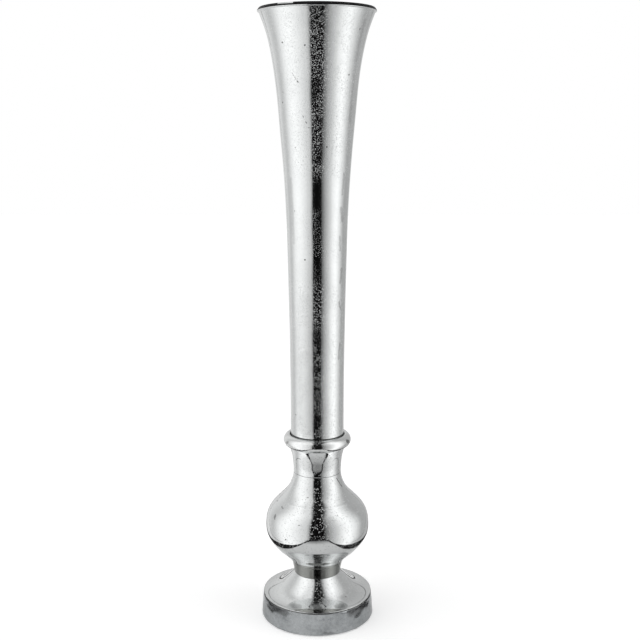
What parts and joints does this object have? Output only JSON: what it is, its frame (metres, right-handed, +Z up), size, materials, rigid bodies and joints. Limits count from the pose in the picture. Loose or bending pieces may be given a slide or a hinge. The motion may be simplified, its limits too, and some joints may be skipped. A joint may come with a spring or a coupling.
{
  "type": "trumpet vase",
  "caption": "Tall cast aluminium floor vase: a flared trumpet that screws into the collar of a turned pedestal with a round bulb, dished foot and heavy plinth.",
  "frame": {"origin": "on the floor, at the middle of the foot, on the vase's axis", "axes": "+Z up along the axis of revolution, from the foot to the trumpet's mouth"},
  "size_m": [0.1894, 0.1894, 1],
  "materials": {
    "rough_cast": "as cast, matt and mottled",
    "satin_cast": "polished over a fine cast grain",
    "bright_bead": "bright polished",
    "turned": "lathe turned",
    "plated_steel": "zinc plated",
    "insert_brass": "turned",
    "fibre": "vulcanised fibre, matt",
    "felt": "pressed wool felt"
  },
  "bodies": {
    "pedestal": {"felt_pads": "felt", "plinth": "rough_cast", "foot_dish": "satin_cast", "turned_stem": "turned", "bulb": "satin_cast", "neck": "satin_cast", "collar_ring": "bright_bead", "tie_rod": "plated_steel", "base_washer": "plated_steel", "lock_washer": "plated_steel", "base_nut": "plated_steel", "deck_washer": "plated_steel", "deck_nut": "plated_steel", "seat_washer": "fibre"},
    "insert": {"thread_insert": "insert_brass"},
    "trumpet": {"trumpet_floor": "turned", "trumpet_shell": "satin_cast"}
  },
  "joints": [
    {"name": "insert_rise", "type": "slide", "parent": "pedestal", "child": "insert", "axis": [0, 0, 1], "range_m": [0, 0.0211]},
    {"name": "trumpet_turn", "type": "hinge", "parent": "insert", "child": "trumpet", "pos_m": [0, 0, 0.33], "axis": [0, 0, 1], "range_deg": [0, 4320]}
  ],
  "couplings": [
    {"joint": "insert_rise", "follows": "trumpet_turn", "m_per_rad": 0.00027852}
  ]
}
